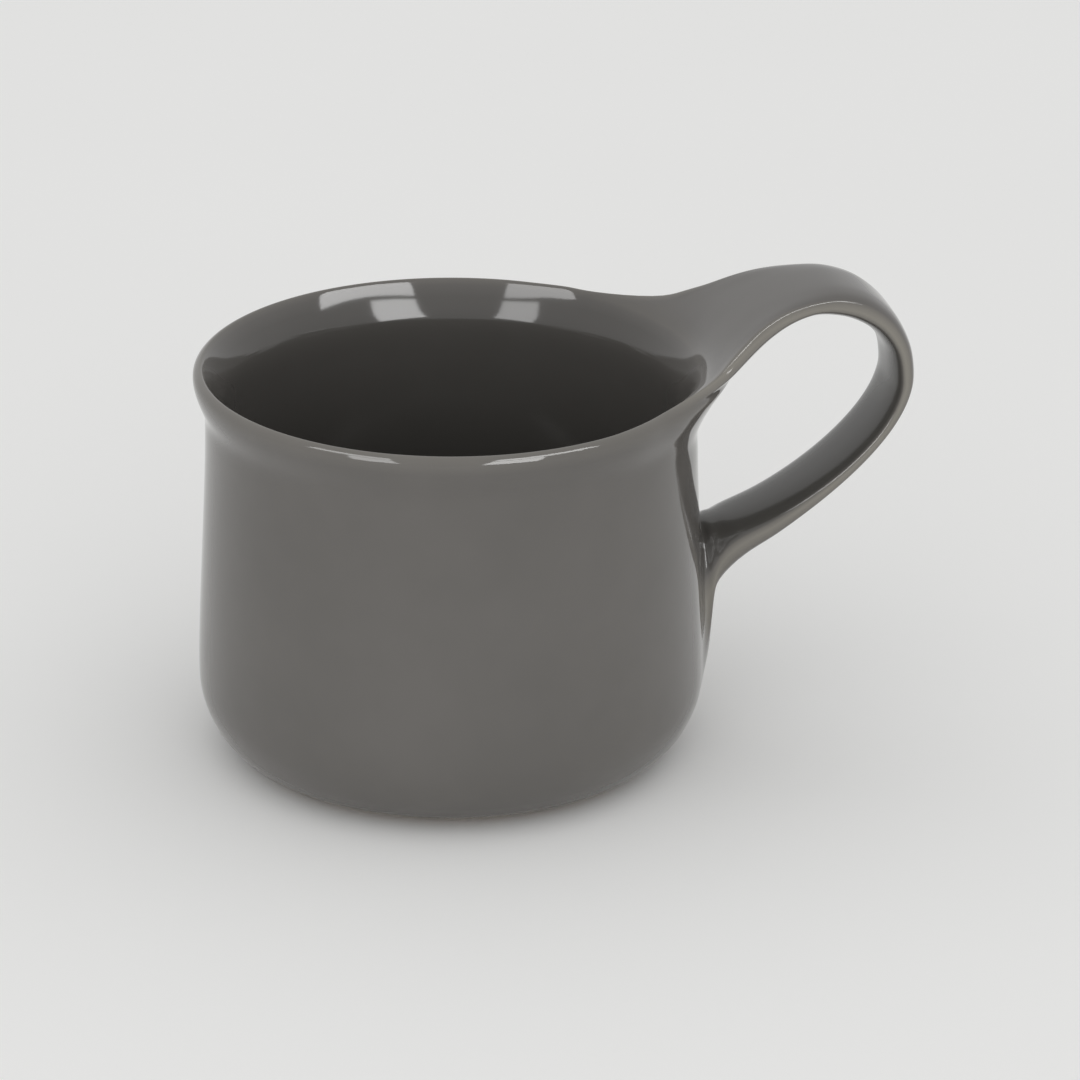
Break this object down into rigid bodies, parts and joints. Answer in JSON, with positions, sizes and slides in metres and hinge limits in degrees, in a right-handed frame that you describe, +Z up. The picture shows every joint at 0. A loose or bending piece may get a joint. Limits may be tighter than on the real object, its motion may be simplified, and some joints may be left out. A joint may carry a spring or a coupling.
{
  "type": "mug",
  "caption": "Low glazed stoneware mug with an everted lip, a foot ring and a wide strap handle drawn up from the rim, for holding and drinking hot drinks.",
  "frame": {"origin": "on the table under the middle of the whole mug, handle included", "axes": "+X from the cup towards the handle, +Y across the handle, +Z up"},
  "size_m": [0.1296, 0.092, 0.0852],
  "materials": {
    "stoneware": "bare fired stoneware, matt and faintly speckled",
    "slip": "bare fired slip, matt",
    "grey_glaze": "glossy warm grey glaze, thinner and paler along edges"
  },
  "bodies": {
    "root": {"cup_body": "stoneware", "handle": "stoneware", "upper_slip_joint": "slip", "lower_slip_joint": "slip", "liner_glaze": "grey_glaze", "outer_glaze": "grey_glaze", "handle_glaze": "grey_glaze", "foot_well_glaze": "grey_glaze"}
  },
  "joints": []
}
